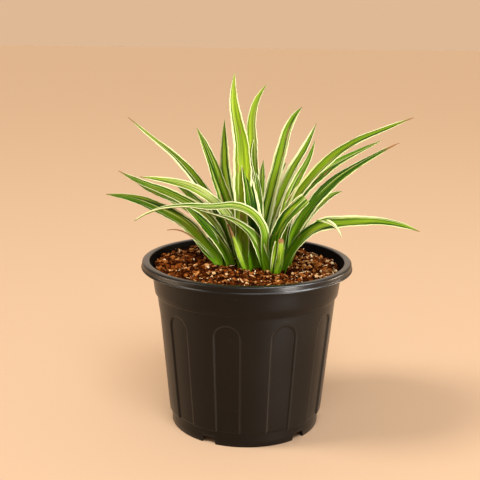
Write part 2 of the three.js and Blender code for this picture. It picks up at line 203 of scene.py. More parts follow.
# One row per leaf: root x and y, heading, turn towards the tip, leans from upright along the
# leaf, length, width, roll at the root and at the tip, share of the blade that is left, how far
# the outer half narrows to a long point, then the cream margin's share of the half width, the
# dried share at the tip, and the paleness. Angles are in degrees, and headings go from 0 at the
# right to 90 at the back. Each sliver has such a row after the height at which it is torn off.
Leaf = namedtuple("Leaf", "x y heading turn leans length width roll_root roll_tip kept drawn "
                          "margin dried pale")
SHOOTS = {
    "shoot_left": {
        "crown": (-15.5, -2),
        "leaves": [
            (-17.5, -6, 149, 0, [48, 48, 73, 83, 92], 126, 10.5, -50, -40, 1, 0.2, 0.16, 0.03, 0.1),
            (-16, -4, 172, 6, [-4, 30, 64, 70, 64], 117, 8, -50, -60, 1, 0.2, 0.2, 0.05, 0.1),
            (-17, 2, 160, 0, [-4, 28, 70, 76, 66], 105, 8, -45, -60, 1, 0.2, 0.2, 0.03, 0.1),
            (-16.5, 4, 150, -14, [2, 39, 64, 76, 75], 88, 5, -40, -50, 1, 0, 0.25, 0.05, 0.1),
            (-11.5, -6, 184, 0, [13, 31, 38, 45, 59], 60, 9.5, -60, -50, 1, 0, 0.16, 0.03, 0.0),
            (-13, 3, 151, 6, [6, 26, 47, 57, 57], 147, 8, -40, -60, 1, 0.8, 0.34, 0.06, 0.3),
            (-19.5, -1, 186, 6, [46, 43, 44, 62, 101], 52, 1.6, -40, -40, 1, 0, 0.2, 0.46, 0.0),
            (-13, 2, 124, 0, [4, 30, 55], 62, 8, -20, -30, 1, 0, 0.2, 0.0, 0.0),
            (-15, 3, 136, 0, [10, 50, 80], 84, 8.5, -25, -35, 1, 0, 0.2, 0.0, 0.0),
            (-14, 1, 166, 0, [12, 40, 66], 66, 8, -45, -45, 1, 0, 0.2, 0.0, 0.0),
            (-17, 3, 112, 0, [14, 52, 94], 92, 8.5, -10, -20, 1, 0, 0.2, 0.0, 0.1),
        ],
    },
    "shoot_middle": {
        "crown": (2, -10),
        "leaves": [
            (-4, -9, 176, 4, [-5, 22, 52, 76, 88], 116, 8, -50, -60, 1, 0.1, 0.24, 0.03, 0.3),
            (-2.4, -6.4, 152, 0, [14, 18, 22, 26, 29], 111, 11, -30, -50, 1, 0.2, 0.18, 0.0, 0.1),
            (-1, -5, 125, 0, [28, 24, 19, 8, -6], 114, 10, -24, -34, 1, 0.2, 0.18, 0.0, 0.0),
            (0, -11, 135, 0, [9, 3, 3, 17, -6], 145, 14.5, -34, -30, 1, 0.4, 0.22, 0.0, 1.0),
            (6, -12.6, 135, 0, [-5, 3, 11, 19, 28], 87, 12, -34, -20, 1, 0.2, 0.2, 0.05, -0.3),
            (-1, -15.5, 190, 0, [21, 20, 19], 38, 6, -40, -30, 1, 0.9, 0.0, 0.3, 1.0),
            (2, -6, 140, 0, [8, 17, 1], 83, 7.5, -20, -20, 1, 0, 0.16, 0.04, 0.0),
        ],
    },
    "shoot_front": {
        "crown": (21, -18),
        "leaves": [
            (16.5, -17.5, 190, 0, [18, -2, 46, 96, 82, 101, 128], 138, 9.5, -66, 16, 1, 0.2, 0.26,
             0.0, 0.3),
            (16.5, -18, 188, -4, [25, 19, 48, 77, 71], 77, 9, -95, 25, 1, 0.3, 0.22, 0.0, 0.1),
            (20, -20, -12, 10, [-5, -3, 25, 40, 47], 64, 11, 45, 60, 0.72, 0, 0.14, 0.0, 0.1),
            (26, -17, -28, 0, [15, 42, 78, 88, 105], 124, 11.5, 55, 35, 1, 0.4, 0.19, 0.03, 0.0),
            (22, -24, -30, 0, [10, 8, -5], 27, 6.2, -40, -50, 0.9, 0, 0.05, 0.13, 0.5),
            (17.5, -22, -60, 0, [10, 13, 11], 26, 5, 40, 30, 1, 0, 0.08, 0.0, 0.4),
        ],
        "slivers": [
            (165.5,
             (49, -33.5, -27, 0, [84, 98, 128, 168], 24, 2.0, 20, 10, 1, 0.4, 1.6, 0.0, 1.0)),
            (167,
             (54, -36, -27, 0, [90, 120, 160], 15, 1.7, 20, 10, 1, 0.4, 1.6, 0.0, 1.0)),
        ],
    },
    "shoot_right": {
        "crown": (28, 0),
        "leaves": [
            (26, -2, -15, 1, [-5, 18, 42, 62, 70], 161, 9, 50, 60, 1, 0.5, 0.26, 0.05, 0.2),
            (27, 2, 21, -18, [-5, 12, 50, 62, 65], 133, 10.5, 40, 60, 1, 0.8, 0.16, 0.0, 0.0),
            (30, 0, 8, 0, [3, 27, 47, 59, 68], 133, 9.5, 50, 60, 1, 0.9, 0.22, 0.10, 0.1),
            (25, 1, 40, 0, [-5, 5, 28, 39, 19], 102, 7.5, 30, 40, 1, 0.1, 0.2, 0.0, 0.3),
            (26, 3, 62, 0, [10, 25, 45], 72, 7, 20, 30, 1, 0, 0.2, 0.0, 0.1),
            (29, 3, 36, 0, [15, 30, 60], 60, 7, 30, 40, 1, 0, 0.2, 0.0, 0.1),
            (31, 4, 47, 0, [16, 54, 94], 90, 8.5, 20, 30, 1, 0, 0.2, 0.0, 0.1),
        ],
    },
    "shoot_back": {
        "crown": (8, 15),
        "leaves": [
            (4, 18, 30, 0, [5, -1, -5, 0, 43], 138, 10.5, 40, 50, 1, 0.2, 0.2, 0.0, 0.5),
            (6, 18, 170, 0, [-10, -8, 10, 14, -21], 99, 7, -10, 0, 1, 0.7, 0.2, 0.0, 0.2),
            (9, 12, 130, 0, [0, -4, 2, 16, 40], 78, 8.5, 0, 10, 1, 0, 0.16, 0.0, 0.0),
            (10, 13, 51, 10, [-1, 22, 19, 32, 72], 135, 10.5, 15, 30, 1, 0.1, 0.22, 0.0, 0.1),
            (12, 15, 40, 0, [6, 21, 33, 38, 33], 119, 8.5, 25, 35, 1, 0, 0.4, 0.03, 0.3),
            (8, 18, 95, 0, [5, 45, 100], 94, 9, 0, 0, 1, 0, 0.2, 0.0, 0.1),
            (5, 17, 122, 0, [5, 52, 95], 84, 9, -10, -20, 1, 0, 0.2, 0.0, 0.1),
            (11, 17, 70, 0, [5, 40, 85], 100, 9, 10, 20, 1, 0, 0.2, 0.0, 0.1),
            (9, 17, 84, 0, [4, 24, 52], 84, 8, 0, 10, 1, 0, 0.2, 0.0, 0.1),
            (12, 18, 56, 0, [12, 56, 104], 98, 9, 10, 20, 1, 0, 0.2, 0.0, 0.1),
        ],
    },
}

# Camera of the photograph
CAMERA_PLACE_MM = (-5.4, -634.4, 290.5)
CAMERA_PITCH = 13.13
CAMERA_ROLL = 0.72
CAMERA_LENS = 64.46
CAMERA_SENSOR = 36.0

# Soft sun from the left
SUN_FROM = (-0.8, -0.15, 0.85)
SUN_STRENGTH = 1.75
SUN_ANGLE = 20.0
SUN_COLOUR = (1.0, 0.93, 0.83)

# Lamps: place, height of the aim on the pot's axis and size in metres, power, colour, and which
# pieces are lit
LAMPS = [
    ("strip", (0.60, -0.72, 0.16), 0.08, (0.2, 0.4), 11.0, (1.0, 0.99, 0.97), "plant"),
    ("overhead", (0.3, -1.2, 1.8), 0.1, (1.0, 0.8), 23.0, (0.97, 0.98, 1.0), "all"),
    ("lip_gloss", (0.55, -0.12, 0.95), 0.13, (0.14, 0.85), 38.0, (0.95, 0.97, 1.0), "pot"),
    ("side_gloss", (0.92, 0.22, 0.1), 0.07, (0.25, 0.5), 17.0, (1.0, 0.82, 0.64), "pot"),
    ("front_gloss", (0.64, -0.68, -0.05), 0.07, (0.14, 0.34), 60.0, (1.0, 0.95, 0.9), "pot"),
    ("back_gloss", (-0.2, 1.6, 0.55), 0.12, (1.6, 0.5), 2.4, (1.0, 0.84, 0.68), "pot"),
    ("left_gloss", (-0.92, -0.1, -0.05), 0.07, (0.6, 0.32), 32.0, (1.0, 0.76, 0.54), "pot"),
]

# Floor and background
FLOOR_SIZE = 60
FLOOR_COLOUR = (0.735, 0.515, 0.345, 1)
FLOOR_ROUGHNESS, FLOOR_SPECULAR = 0.9, 0.1
SKY_COLOURS = [
    (0.08, (0.735, 0.485, 0.305, 1)),
    (0.55, (0.60, 0.53, 0.44, 1)),
]

# Materials. A noise is given as scale, detail and, where it isn't 0.5, roughness. Edges, rises and
# widenings are the values between which a mask goes from 0 to 1, and a share is the most of a
# colour that is mixed in. Patches, flecks, drifts, growths and wanders are a gain and an offset.
# Bumps are a strength and a depth in metres.
PLASTIC_DARK = (0.0018, 0.0012, 0.0008, 1)
PLASTIC_PALE = (0.0036, 0.0026, 0.0018, 1)
PLASTIC_DUST = (0.05, 0.042, 0.034, 1)
# Painted highlight: a lighter colour along the shoulders of the flutes
PLASTIC_PAINTED_HIGHLIGHT = (0.012, 0.010, 0.008, 1)
PLASTIC_CLOUD = (24.0, 3.0)
PLASTIC_GRAIN = (1500.0, 2.0)
PLASTIC_SPECKS = (850.0, 1.0)
DUST_EDGES, DUST_SHARE = (0.70, 0.78), 0.2
PLASTIC_ROUGHNESS, PLASTIC_ROUGHNESS_SPREAD = 0.25, 0.10
PLASTIC_SPECULAR = 0.17
INSIDE_ROUGHER, INSIDE_DULLER = 0.5, -0.16
PLASTIC_BUMP = (0.10, 0.0002)

SOIL_COLOURS = [
    (0.3, (0.004, 0.0008, 0.0001, 1)),
    (0.55, (0.024, 0.0048, 0.0006, 1)),
    (0.8, (0.10, 0.026, 0.004, 1)),
]
SOIL_CLOUD = (260.0, 4.0, 0.6)
SOIL_ROUGHNESS, SOIL_SPECULAR = 0.95, 0.05
SOIL_BUMP = (0.8, 0.0012)

CRUMB_COLOURS = [
    (0.0, (0.006, 0.0008, 0.0001, 1)),
    (0.22, (0.036, 0.0060, 0.0006, 1)),
    (0.5, (0.17, 0.038, 0.0040, 1)),
    (0.75, (0.40, 0.14, 0.030, 1)),
    (0.92, (0.68, 0.38, 0.15, 1)),
    (1.0, (0.88, 0.68, 0.42, 1)),
]
CRUMB_CLOUD = (900.0, 2.0)
CRUMB_FLECKS = (0.24, -0.12)
CRUMB_ROUGHNESS, CRUMB_SPECULAR = 0.85, 0.04

# Streaks of a blade: how often they change across it and along it, and their detail
STREAKS = {
    "broad": (3.0, 2.0, 2.0),
    "band": (3.6, 1.1, 1.0),
    "stripe": (9.0, 1.4, 1.0),
    "drift": (1.6, 2.4, 2.0),
    "fine": (26.0, 2.2, 2.0),
    "scorch": (7.0, 9.0, 2.0),
    "hair": (70.0, 3.0, 1.0),
}
LEAF_DEEP = (0.007, 0.038, 0.0008, 1)
LEAF_MID = (0.074, 0.178, 0.0015, 1)
LEAF_LIGHT = (0.31, 0.45, 0.020, 1)
GRAIN_OF_FINE, GRAIN_OF_BAND = 0.45, 0.55
GRAIN_EDGES = (0.42, 0.58)
MIDRIB_EDGES, MIDRIB_SHARE = (0.16, 0.02), 0.55
PATCHES = (2.6, -1.22)
PALE_GAIN = 0.8
CREAM_DARK = (0.57, 0.63, 0.25, 1)
CREAM_PALE = (0.81, 0.82, 0.52, 1)
MARGIN_DRIFT = (3.2, -0.6)
MARGIN_WIDENING = (0.0, 0.3)
MARGIN_GROWTH = (0.5, 0.5)
MARGIN_WANDER = (0.16, -0.08)
MARGIN_SOFTNESS = 0.05
MARGIN_RISE = (0.04, 0.28)
# Painted shade: darker green beside the cream margins
SHADE_EDGES, SHADE_SHARE = (0.34, 0.10), 0.55
LEAF_STRIPE = (0.55, 0.63, 0.20, 1)
STRIPE_EDGES, STRIPE_RISE, STRIPE_SHARE = (0.59, 0.64), (0.05, 0.30), 0.6
LEAF_FOOT = (0.12, 0.29, 0.003, 1)
FOOT_EDGES, FOOT_SHARE = (0.34, 0.05), 0.55
BROWN_DARK = (0.13, 0.050, 0.018, 1)
BROWN_PALE = (0.38, 0.20, 0.085, 1)
TIP_WANDER = (0.12, -0.06)
# The brown starts this much before its place and is full this much after it.
TIP_EDGES = (0.02, 0.05)
SCORCH_EDGES, SCORCH_SHARE = (0.64, 0.70), 0.75
LEAF_ROUGHNESS, LEAF_ROUGHNESS_SPREAD = 0.33, 0.18
LEAF_SPECULAR = 0.06
RIB_COUNT, RIB_HEIGHT, HAIR_HEIGHT = 11, 0.5, 0.8
LEAF_BUMP = (0.35, 0.00025)


def smooth_step(low, high, value):
    """Smooth rise from 0 to 1 while the value goes from low to high."""
    t = np.clip((value - low) / (high - low), 0, 1)
    return t * t * (3 - 2 * t)


def along(values, s):
    """Value at share s of a row of evenly spread values."""
    return float(np.interp(s, np.linspace(0, 1, len(values)), values))


# Node material helpers
def set_stops(ramp, stops):
    elements = ramp.color_ramp.elements
    while len(elements) < len(stops):
        elements.new(0.5)
    for element, (place, colour) in zip(elements, stops):
        element.position = place
        element.color = colour


class Shader:
    """Short way to build one Principled material from nodes."""

    def __init__(self, name):
        self.material = bpy.data.materials.new(name)
        self.material.use_nodes = True
        self.tree = self.material.node_tree
        self.bsdf = self.tree.nodes["Principled BSDF"]

    def put(self, socket, value):
        """Link another node's output to a socket, or set a plain value on it."""
        if isinstance(value, bpy.types.NodeSocket):
            self.tree.links.new(value, socket)
        else:
            socket.default_value = value

    def node(self, kind, inputs=None, **settings):
        made = self.tree.nodes.new(kind)
        for key, value in settings.items():
            setattr(made, key, value)
        for key, value in (inputs or {}).items():
            self.put(made.inputs[key], value)
        return made

    def place(self):
        return self.node("ShaderNodeTexCoord").outputs["Object"]

    def attribute(self, name, output="Fac"):
        return self.node("ShaderNodeAttribute", attribute_name=name).outputs[output]

    def split(self, vector):
        return list(self.node("ShaderNodeSeparateXYZ", {0: vector}).outputs)

    def math(self, operation, a, b=0.0, c=0.0, clamp=False):
        made = self.node("ShaderNodeMath", {0: a, 1: b, 2: c}, operation=operation,
                         use_clamp=clamp)
        return made.outputs[0]

    def plus(self, a, b):
        return self.math("ADD", a, b)

    def minus(self, a, b):
        return self.math("SUBTRACT", a, b)

    def times(self, a, b):
        return self.math("MULTIPLY", a, b)

    def linear(self, value, gain, offset, clamp=False):
        return self.math("MULTIPLY_ADD", value, gain, offset, clamp)

    def step(self, value, low, high):
        made = self.node("ShaderNodeMapRange", {0: value, 1: low, 2: high, 3: 0.0, 4: 1.0},
                         interpolation_type="SMOOTHSTEP")
        return made.outputs[0]

    def mix(self, factor, a, b, most=None):
        """Colour a where the factor is 0, and b, or at most that share of it, where it is 1."""
        if most is not None:
            factor = self.times(factor, most)
        made = self.node("ShaderNodeMix", data_type="RGBA")
        self.put(made.inputs[0], factor)
        self.put(made.inputs[6], a)
        self.put(made.inputs[7], b)
        return made.outputs[2]

    def noise(self, vector, scale, detail, rough=0.5):
        made = self.node("ShaderNodeTexNoise", {"Vector": vector, "Scale": scale, "Detail": detail,
                                                "Roughness": rough})
        return made.outputs[0]

    def ramp(self, factor, stops):
        made = self.node("ShaderNodeValToRGB", {0: factor})
        set_stops(made, stops)
        return made.outputs[0]

    def bump(self, height, strength, distance):
        made = self.node("ShaderNodeBump", {"Height": height, "Strength": strength,
                                            "Distance": distance})
        return made.outputs[0]

    def surface(self, colour, roughness, specular, normal=None):
        self.put(self.bsdf.inputs["Base Color"], colour)
        self.put(self.bsdf.inputs["Roughness"], roughness)
        self.put(self.bsdf.inputs["Specular IOR Level"], specular)
        if normal is not None:
            self.put(self.bsdf.inputs["Normal"], normal)
        return self.material


def pot_material():
    sh = Shader("pot_plastic")
    place = sh.place()
    cloud = sh.noise(place, *PLASTIC_CLOUD)
    grain = sh.noise(place, *PLASTIC_GRAIN)
    dust = sh.step(sh.noise(place, *PLASTIC_SPECKS), *DUST_EDGES)
    colour = sh.mix(cloud, PLASTIC_DARK, PLASTIC_PALE)
    colour = sh.mix(dust, colour, PLASTIC_DUST, DUST_SHARE)
    # Painted highlight on the shoulders of the flutes
    colour = sh.mix(sh.attribute("painted_highlight"), colour, PLASTIC_PAINTED_HIGHLIGHT)
    # The inner wall is rougher and hardly shines.
    inside = sh.attribute("inside")
    rough = sh.linear(cloud, PLASTIC_ROUGHNESS_SPREAD, PLASTIC_ROUGHNESS)
    rough = sh.linear(inside, INSIDE_ROUGHER, rough)
    specular = sh.linear(inside, INSIDE_DULLER, PLASTIC_SPECULAR)
    return sh.surface(colour, rough, specular, sh.bump(grain, *PLASTIC_BUMP))


def soil_material():
    sh = Shader("soil_bed")
    cloud = sh.noise(sh.place(), *SOIL_CLOUD)
    colour = sh.ramp(cloud, SOIL_COLOURS)
    return sh.surface(colour, SOIL_ROUGHNESS, SOIL_SPECULAR, sh.bump(cloud, *SOIL_BUMP))


def crumb_material():
    sh = Shader("soil_crumbs")
    fleck = sh.linear(sh.noise(sh.place(), *CRUMB_CLOUD), *CRUMB_FLECKS)
    colour = sh.ramp(sh.plus(sh.attribute("tint"), fleck), CRUMB_COLOURS)
    return sh.surface(colour, CRUMB_ROUGHNESS, CRUMB_SPECULAR)


def streaks(sh, across, up, seed, across_count, up_count, detail):
    """Noise that is drawn out along the blade."""
    x = sh.times(across, across_count)
    y = sh.times(up, up_count)
    vector = sh.node("ShaderNodeCombineXYZ", {0: x, 1: y, 2: seed}).outputs[0]
    return sh.noise(vector, 1.0, detail)


def leaf_green(sh, streak, side, pale):
    """Green of the blade, with a darker midrib and lighter patches."""
    grain = sh.linear(streak["fine"], GRAIN_OF_FINE, sh.times(streak["band"], GRAIN_OF_BAND))
    green = sh.mix(sh.step(grain, *GRAIN_EDGES), LEAF_DEEP, LEAF_MID)
    green = sh.mix(sh.step(side, *MIDRIB_EDGES), green, LEAF_DEEP, MIDRIB_SHARE)
    patch = sh.linear(streak["broad"], *PATCHES)
    lighter = sh.linear(pale, PALE_GAIN, patch, clamp=True)
    return sh.mix(lighter, green, LEAF_LIGHT)


def leaf_margins(sh, streak, side, up, margin, green):
    """Wandering cream margins, darker green beside them as painted shade, a pale stripe here and
    there.
    """
    share = sh.times(margin, sh.linear(streak["drift"], *MARGIN_DRIFT))
    share = sh.times(share, sh.linear(sh.step(up, *MARGIN_WIDENING), *MARGIN_GROWTH))
    edge = sh.plus(side, sh.linear(streak["fine"], *MARGIN_WANDER))
    start = sh.minus(1.0, share)
    cream_here = sh.step(edge, sh.minus(start, MARGIN_SOFTNESS), sh.plus(start, MARGIN_SOFTNESS))
    cream_here = sh.times(cream_here, sh.step(up, *MARGIN_RISE))
    # Painted shade: a darker green band just inside each cream margin
    shade_low, shade_high = (sh.minus(start, distance) for distance in SHADE_EDGES)
    green = sh.mix(sh.step(edge, shade_low, shade_high), green, LEAF_DEEP, SHADE_SHARE)
    colour = sh.mix(cream_here, green, sh.mix(streak["hair"], CREAM_DARK, CREAM_PALE))
    stripe = sh.times(sh.step(streak["stripe"], *STRIPE_EDGES), sh.step(up, *STRIPE_RISE))
    return sh.mix(stripe, colour, LEAF_STRIPE, STRIPE_SHARE)


def leaf_ends(sh, streak, up, dried, colour):
    """Fresh green at the foot, and brown at the tip and in a few scorched spots."""
    colour = sh.mix(sh.step(up, *FOOT_EDGES), colour, LEAF_FOOT, FOOT_SHARE)
    start = sh.minus(1.0, dried)
    place = sh.plus(up, sh.linear(streak["fine"], *TIP_WANDER))
    tip = sh.step(place, sh.minus(start, TIP_EDGES[0]), sh.plus(start, TIP_EDGES[1]))
    spots = sh.times(sh.step(streak["scorch"], *SCORCH_EDGES), SCORCH_SHARE)
    brown = sh.mix(streak["hair"], BROWN_DARK, BROWN_PALE)
    return sh.mix(sh.math("MAXIMUM", tip, spots), colour, brown)


def leaf_material():
    sh = Shader("leaf_blade")
    across, up, _ = sh.split(sh.node("ShaderNodeUVMap", uv_map="blade").outputs["UV"])
    margin, dried, pale = sh.split(sh.attribute("kind", "Vector"))
    seed = sh.attribute("seed")
    # From 0 on the midrib to 1 at either edge
    side = sh.math("ABSOLUTE", sh.linear(across, 2.0, -1.0))
    streak = {name: streaks(sh, across, up, seed, *row) for name, row in STREAKS.items()}

    colour = leaf_green(sh, streak, side, pale)
    colour = leaf_margins(sh, streak, side, up, margin, colour)
    colour = leaf_ends(sh, streak, up, dried, colour)
    rough = sh.linear(streak["fine"], LEAF_ROUGHNESS_SPREAD, LEAF_ROUGHNESS)
    ribs = sh.math("SINE", sh.times(across, 2 * math.pi * RIB_COUNT))
    relief = sh.linear(ribs, RIB_HEIGHT, sh.times(streak["hair"], HAIR_HEIGHT))
    return sh.surface(colour, rough, LEAF_SPECULAR, sh.bump(relief, *LEAF_BUMP))


# Mesh helpers
def new_piece(name, points, faces, material, node, smooth=True):
    """Piece from points in mm that takes the place of a node of the part."""
    mesh = bpy.data.meshes.new(name)
    mesh.from_pydata([tuple(p) for p in np.asarray(points) * MM], [], faces)
    mesh.validate()
    mesh.materials.append(material)
    if smooth:
        mesh.polygons.foreach_set("use_smooth", [True] * len(mesh.polygons))
    piece = bpy.data.objects.new(name, mesh)
    bpy.context.scene.collection.objects.link(piece)
    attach(piece, ROOT)
    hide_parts(node)
    return piece


def add_marks(piece, name, values, kind="FLOAT", field="value"):
    """One value or vector per point, which the material reads."""
    marks = piece.data.attributes.new(name, kind, "POINT")
    marks.data.foreach_set(field, np.asarray(values).astype(np.float32).ravel())


# Pot
def from_pitch(angle, phase, count):
    """Angle from the nearest of a number of evenly spread places round the pot."""
    pitch = 360.0 / count
    return (angle - phase + pitch / 2) % pitch - pitch / 2


def into_flute(angle, height, radius):
    """How far a place at an angle from the front lies inside a flute's outline."""
    x = np.abs(np.radians(from_pitch(angle, FLUTE_PHASE, FLUTE_COUNT)) * radius)
    centre = FLUTE_TOP - FLUTE_HALF_WIDTH_TOP
    half = np.interp(height, [FOOT_HEIGHT, centre],
                     [FLUTE_HALF_WIDTH_LOW, FLUTE_HALF_WIDTH_TOP])
    straight = half - x
    arch = FLUTE_HALF_WIDTH_TOP - np.hypot(x, height - centre)
    return np.where(height > centre, arch, straight)


def flute_depth(angle, height, radius):
    """How far the wall is pressed in at an angle in degrees from the front."""
    inside = into_flute(angle, height, radius)
    return FLUTE_DEPTH * smooth_step(-FLUTE_EDGE / 2, FLUTE_EDGE / 2, inside)


def pot_profile():
    """Closed outline of the wall as (radius, height, takes flutes, moves with the notches)."""
    foot_inside = FOOT_RADIUS_LOW - FOOT_WALL
    underside = [
        (0.0, FLOOR_UNDER),
        (FLOOR_RING, FLOOR_UNDER),
        (foot_inside - 1.2, FLOOR_UNDER),
        (foot_inside - 0.5, FLOOR_UNDER - 0.25),
    ]
    foot_edge = [
        (foot_inside, 0.3),
        (foot_inside + 0.3, 0.0),
        (FOOT_RADIUS_LOW - 0.3, 0.0),
        (FOOT_RADIUS_LOW, 0.3),
    ]
    foot_side = [
        (FOOT_RADIUS_LOW + 0.1, FLOOR_UNDER - 0.25),
        (FOOT_RADIUS_LOW + 0.25, 8.0),
        (FOOT_RADIUS_TOP, FOOT_HEIGHT - 0.35),
        (FOOT_RADIUS_TOP + 0.02, FOOT_HEIGHT),
    ]
    slope = (BODY_RADIUS_TOP - BODY_RADIUS_LOW) / (COLLAR_HEIGHT - FOOT_HEIGHT)
    body = [
        (BODY_RADIUS_LOW - 0.45, FOOT_HEIGHT + 0.25),
        (BODY_RADIUS_LOW - 0.1, FOOT_HEIGHT + 0.7),
        (BODY_RADIUS_LOW, FOOT_HEIGHT + 1.5),
    ] + [(BODY_RADIUS_LOW + slope * (z - FOOT_HEIGHT), z) for z in BODY_ROWS]
    collar = [
        (BODY_RADIUS_TOP, COLLAR_HEIGHT - 0.9),
        (BODY_RADIUS_TOP + 0.3, COLLAR_HEIGHT - 0.5),
        (COLLAR_RADIUS_LOW - 0.3, COLLAR_HEIGHT - 0.25),
        (COLLAR_RADIUS_LOW, COLLAR_HEIGHT + 0.2),
        (COLLAR_RADIUS_LOW + 0.7, 109.0),
        (COLLAR_RADIUS_LOW + 1.4, 115.0),
        (COLLAR_RADIUS_TOP, 121.0),
        (COLLAR_RADIUS_TOP + 0.5, 123.0),
        (COLLAR_RADIUS_TOP + 1.8, 124.8),
        (COLLAR_RADIUS_TOP + 4.0, 125.9),
        (RIM_RADIUS - 3.0, 126.3),
        (RIM_RADIUS - 2.0, 125.8),
        (RIM_RADIUS - 1.7, 125.0),
    ]
    lip = [(RIM_RADIUS + out, RIM_HEIGHT - LIP_DEPTH + rise) for out, rise in LIP_SIDE]
    lip += [(RIM_RADIUS + out, RIM_HEIGHT + rise) for out, rise in LIP_TOP]
    lip.append((MOUTH_RADIUS + 3.5, RIM_HEIGHT + 0.05))
    floor = [(FLOOR_RING, FLOOR_TOP), (0.0, FLOOR_TOP)]
    parts = [
        (underside, False, False),
        (foot_edge, False, True),
        (foot_side, False, False),
        (body, True, False),
        (collar + lip + INNER_WALL[::-1] + floor, False, False),
    ]
    return [(r, z, fluted, notched) for rows, fluted, notched in parts for r, z in rows]


def pot_angles(half_notch):
    """Angles of the wall's columns in degrees, close together at each flute's and notch's edge."""
    half_flute = math.degrees(FLUTE_HALF_WIDTH_TOP / BODY_RADIUS_TOP)
    pitch = 360.0 / FLUTE_COUNT
    one_flute = np.concatenate([
        np.arange(-half_flute + FLUTE_COLUMNS_FROM, half_flute - COLUMNS_UP_TO, FLUTE_COLUMN_STEP),
        half_flute + FLUTE_EDGE_COLUMNS,
        FLUTE_EDGE_COLUMNS - half_flute,
        np.arange(half_flute + WALL_COLUMNS_FROM, pitch - half_flute - COLUMNS_UP_TO,
                  WALL_COLUMN_STEP),
    ])
    angles = [FLUTE_PHASE + pitch * i + one_flute for i in range(FLUTE_COUNT)]
    for i in range(NOTCH_COUNT):
        middle = NOTCH_PHASE + 360.0 / NOTCH_COUNT * i
        angles += [middle + side * half_notch + NOTCH_EDGE_COLUMNS for side in (-1, 1)]
    angles = np.sort(np.concatenate(angles) % 360.0)
    return angles[np.append(True, np.diff(angles) > LEAST_COLUMN_STEP)]


def drill_drains(pot):
    """Holes in the floor, each in line with a notch of the foot."""
    cutters = []
    for i in range(NOTCH_COUNT):
        a = math.radians(NOTCH_PHASE + i * (360.0 / NOTCH_COUNT))
        place = (DRAIN_RING_RADIUS * math.sin(a) * MM, -DRAIN_RING_RADIUS * math.cos(a) * MM,
                 (FLOOR_UNDER + FLOOR_TOP) / 2 * MM)
        bpy.ops.mesh.primitive_cylinder_add(vertices=DRAIN_SIDES, radius=DRAIN_RADIUS * MM,
                                            depth=DRAIN_DEPTH * MM, location=place)
        cutters.append(bpy.context.object)
    for cutter in cutters:
        cut = pot.modifiers.new("drain", "BOOLEAN")
        cut.operation, cut.solver, cut.object = "DIFFERENCE", "MANIFOLD", cutter
        bpy.context.view_layer.objects.active = pot
        bpy.ops.object.modifier_apply(modifier=cut.name)
        bpy.data.objects.remove(cutter)


def mark_wall(pot):
    """Marks the inner wall, and a painted highlight line on the shoulders of the flutes."""
    spots = np.empty(len(pot.data.vertices) * 3)
    pot.data.vertices.foreach_get("co", spots)
    x, y, z = (spots.reshape(-1, 3) / MM).T
    radius = np.hypot(x, y)
    wall_radii, wall_heights = zip(*INNER_WALL)
    beyond = radius - np.interp(z, wall_heights, wall_radii)
    between = (z > FLOOR_TOP - FLOOR_TOLERANCE) & (z < RIM_HEIGHT - INSIDE_BELOW_RIM)
    add_marks(pot, "inside", (beyond < WALL_TOLERANCE) & between)
    # A painted highlight line along the shoulders of the flutes, lighter than the plastic
    shoulder = into_flute(np.degrees(np.arctan2(x, -y)), z, radius) + HIGHLIGHT_LINE_PLACE
    painted_highlight = np.clip(1 - np.abs(shoulder) / HIGHLIGHT_LINE_REACH, 0, 1)
    outside = (beyond > HALF_WALL) & (z > FOOT_HEIGHT) & (z < FLUTE_TOP + HIGHLIGHT_LINE_ABOVE)
    add_marks(pot, "painted_highlight", painted_highlight * outside)


def make_pot(material):
    half_notch = math.degrees(NOTCH_WIDTH / 2 / FOOT_RADIUS_LOW)
    angle = pot_angles(half_notch)
    columns = len(angle)
    turn = np.radians(angle)
    from_notch = np.abs(from_pitch(angle, NOTCH_PHASE, NOTCH_COUNT))
    in_notch = smooth_step(half_notch + NOTCH_SOFTNESS, half_notch - NOTCH_SOFTNESS, from_notch)
    points, faces, rings = [], [], []
    for radius, height, fluted, notched in pot_profile():
        first = len(points)
        if radius == 0:
            points.append((0.0, 0.0, height))
            rings.append((first, 1))
            continue
        r = np.full(columns, radius)
        z = np.full(columns, height)
        if fluted:
            r = np.maximum(r - flute_depth(angle, z, r), FOOT_RADIUS_TOP)
        if notched:
            z = z + in_notch * NOTCH_LIFT
        points.extend(np.stack([r * np.sin(turn), -r * np.cos(turn), z], 1).tolist())
        rings.append((first, columns))
    for (low, n_low), (high, n_high) in zip(rings, rings[1:]):
        for i in range(columns):
            j = (i + 1) % columns
            if n_low == 1:
                faces.append((low, high + j, high + i))
            elif n_high == 1:
                faces.append((low + i, low + j, high))
            else:
                faces.append((low + i, low + j, high + j, high + i))
    pot = new_piece("pot_body", points, faces, material, "pot")
    drill_drains(pot)
    mark_wall(pot)
    return pot


# Soil
def hollows(x, y):
    """Short waves of the surface: low places are hollows between lumps, where crumbs get painted
    shade.

    The factors of x and y are radians per mm, the first factors are heights in mm or angles.
    """
    wander = 1.6 * np.sin(x * 0.23 + y * 0.19)
    return 1.1 * np.sin(x * 0.55 + wander) * np.sin(y * 0.62 - x * 0.2 + 1.9 + wander)


def soil_height(x, y):
    """Height of the bed: long waves, hollows, and a gentle slope down to the right."""
    rolling = (np.sin(x * 0.11 + 1.3) * np.sin(y * 0.13 + 0.4) * 0.7
               + np.sin(x * 0.31 + y * 0.17) * 0.5 + np.sin(y * 0.43 - x * 0.21 + 2.0) * 0.5)
    return BED_LEVEL + rolling + hollows(x, y) - BED_SLOPE * x


